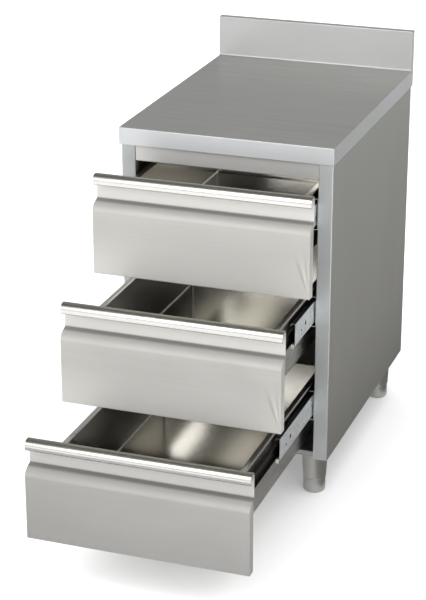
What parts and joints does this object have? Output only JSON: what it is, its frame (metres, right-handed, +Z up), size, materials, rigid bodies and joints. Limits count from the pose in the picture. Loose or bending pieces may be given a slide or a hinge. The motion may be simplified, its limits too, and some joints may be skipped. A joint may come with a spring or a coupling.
{
  "type": "stainless steel drawer cabinet",
  "caption": "Stainless steel kitchen cabinet with a worktop and rear upstand, a stack of drawers with formed handle lips on ball slides, and adjustable feet.",
  "frame": {"origin": "on the floor, at the bottom centre of the whole object's box with the drawers open as at rest", "axes": "+Z up, -Y the way the drawers open (the front), +X to the right as seen from the front"},
  "size_m": [0.5, 1.256, 0.95],
  "materials": {
    "stainless": "fine brushed stainless steel",
    "zinc_steel": "bright zinc plate",
    "cage_steel": "plain pressed steel",
    "board": "raw particle board"
  },
  "bodies": {
    "cabinet": {"worktop": "stainless", "worktop_core_board": "board", "side_panel_left": "stainless", "side_panel_right": "stainless", "back_panel": "stainless", "bottom_panel": "stainless", "top_front_rail": "stainless", "top_rear_rail": "stainless", "slide_upright_left": "zinc_steel", "slide_upright_right": "zinc_steel", "foot_tube_front_left": "stainless", "foot_tube_front_right": "stainless", "foot_tube_rear_left": "stainless", "foot_tube_rear_right": "stainless", "slide_top_left_outer": "zinc_steel", "slide_top_right_outer": "zinc_steel", "slide_middle_left_outer": "zinc_steel", "slide_middle_right_outer": "zinc_steel", "slide_bottom_left_outer": "zinc_steel", "slide_bottom_right_outer": "zinc_steel"},
    "foot_front_left": {"foot_adjuster_front_left": "stainless"},
    "foot_front_right": {"foot_adjuster_front_right": "stainless"},
    "foot_rear_left": {"foot_adjuster_rear_left": "stainless"},
    "foot_rear_right": {"foot_adjuster_rear_right": "stainless"},
    "drawer_top": {"drawer_top_front": "stainless", "drawer_top_front_liner": "stainless", "drawer_top_tray": "stainless", "slide_top_left_inner": "zinc_steel", "slide_top_right_inner": "zinc_steel"},
    "top_intermediates": {"slide_top_left_intermediate": "zinc_steel", "slide_top_right_intermediate": "zinc_steel"},
    "top_outer_cages": {"slide_top_left_outer_cage": "cage_steel", "slide_top_right_outer_cage": "cage_steel"},
    "top_inner_cages": {"slide_top_left_inner_cage": "cage_steel", "slide_top_right_inner_cage": "cage_steel"},
    "drawer_middle": {"drawer_middle_front": "stainless", "drawer_middle_front_liner": "stainless", "drawer_middle_tray": "stainless", "slide_middle_left_inner": "zinc_steel", "slide_middle_right_inner": "zinc_steel"},
    "middle_intermediates": {"slide_middle_left_intermediate": "zinc_steel", "slide_middle_right_intermediate": "zinc_steel"},
    "middle_outer_cages": {"slide_middle_left_outer_cage": "cage_steel", "slide_middle_right_outer_cage": "cage_steel"},
    "middle_inner_cages": {"slide_middle_left_inner_cage": "cage_steel", "slide_middle_right_inner_cage": "cage_steel"},
    "drawer_bottom": {"drawer_bottom_front": "stainless", "drawer_bottom_front_liner": "stainless", "drawer_bottom_tray": "stainless", "slide_bottom_left_inner": "zinc_steel", "slide_bottom_right_inner": "zinc_steel"},
    "bottom_intermediates": {"slide_bottom_left_intermediate": "zinc_steel", "slide_bottom_right_intermediate": "zinc_steel"},
    "bottom_outer_cages": {"slide_bottom_left_outer_cage": "cage_steel", "slide_bottom_right_outer_cage": "cage_steel"},
    "bottom_inner_cages": {"slide_bottom_left_inner_cage": "cage_steel", "slide_bottom_right_inner_cage": "cage_steel"}
  },
  "joints": [
    {"name": "drawer_top_slide", "type": "slide", "parent": "cabinet", "child": "drawer_top", "axis": [0, -1, 0], "range_m": [-0.142, 0.408]},
    {"name": "top_intermediates_slide", "type": "slide", "parent": "cabinet", "child": "top_intermediates", "axis": [0, -1, 0], "range_m": [-0.071, 0.204]},
    {"name": "top_outer_cages_slide", "type": "slide", "parent": "cabinet", "child": "top_outer_cages", "axis": [0, -1, 0], "range_m": [-0.0355, 0.102]},
    {"name": "top_inner_cages_slide", "type": "slide", "parent": "cabinet", "child": "top_inner_cages", "axis": [0, -1, 0], "range_m": [-0.1065, 0.306]},
    {"name": "drawer_middle_slide", "type": "slide", "parent": "cabinet", "child": "drawer_middle", "axis": [0, -1, 0], "range_m": [-0.333, 0.217]},
    {"name": "middle_intermediates_slide", "type": "slide", "parent": "cabinet", "child": "middle_intermediates", "axis": [0, -1, 0], "range_m": [-0.1665, 0.1085]},
    {"name": "middle_outer_cages_slide", "type": "slide", "parent": "cabinet", "child": "middle_outer_cages", "axis": [0, -1, 0], "range_m": [-0.08325, 0.05425]},
    {"name": "middle_inner_cages_slide", "type": "slide", "parent": "cabinet", "child": "middle_inner_cages", "axis": [0, -1, 0], "range_m": [-0.24975, 0.16275]},
    {"name": "drawer_bottom_slide", "type": "slide", "parent": "cabinet", "child": "drawer_bottom", "axis": [0, -1, 0], "range_m": [-0.534, 0.016]},
    {"name": "bottom_intermediates_slide", "type": "slide", "parent": "cabinet", "child": "bottom_intermediates", "axis": [0, -1, 0], "range_m": [-0.267, 0.008]},
    {"name": "bottom_outer_cages_slide", "type": "slide", "parent": "cabinet", "child": "bottom_outer_cages", "axis": [0, -1, 0], "range_m": [-0.1335, 0.004]},
    {"name": "bottom_inner_cages_slide", "type": "slide", "parent": "cabinet", "child": "bottom_inner_cages", "axis": [0, -1, 0], "range_m": [-0.4005, 0.012]},
    {"name": "foot_front_left_screw", "type": "slide", "parent": "cabinet", "child": "foot_front_left", "axis": [0, 0, -1], "range_m": [0, 0.025]},
    {"name": "foot_front_right_screw", "type": "slide", "parent": "cabinet", "child": "foot_front_right", "axis": [0, 0, -1], "range_m": [0, 0.025]},
    {"name": "foot_rear_left_screw", "type": "slide", "parent": "cabinet", "child": "foot_rear_left", "axis": [0, 0, -1], "range_m": [0, 0.025]},
    {"name": "foot_rear_right_screw", "type": "slide", "parent": "cabinet", "child": "foot_rear_right", "axis": [0, 0, -1], "range_m": [0, 0.025]}
  ],
  "couplings": [
    {"joint": "top_intermediates_slide", "follows": "drawer_top_slide", "ratio": 0.5},
    {"joint": "top_outer_cages_slide", "follows": "drawer_top_slide", "ratio": 0.25},
    {"joint": "top_inner_cages_slide", "follows": "drawer_top_slide", "ratio": 0.75},
    {"joint": "middle_intermediates_slide", "follows": "drawer_middle_slide", "ratio": 0.5},
    {"joint": "middle_outer_cages_slide", "follows": "drawer_middle_slide", "ratio": 0.25},
    {"joint": "middle_inner_cages_slide", "follows": "drawer_middle_slide", "ratio": 0.75},
    {"joint": "bottom_intermediates_slide", "follows": "drawer_bottom_slide", "ratio": 0.5},
    {"joint": "bottom_outer_cages_slide", "follows": "drawer_bottom_slide", "ratio": 0.25},
    {"joint": "bottom_inner_cages_slide", "follows": "drawer_bottom_slide", "ratio": 0.75}
  ]
}
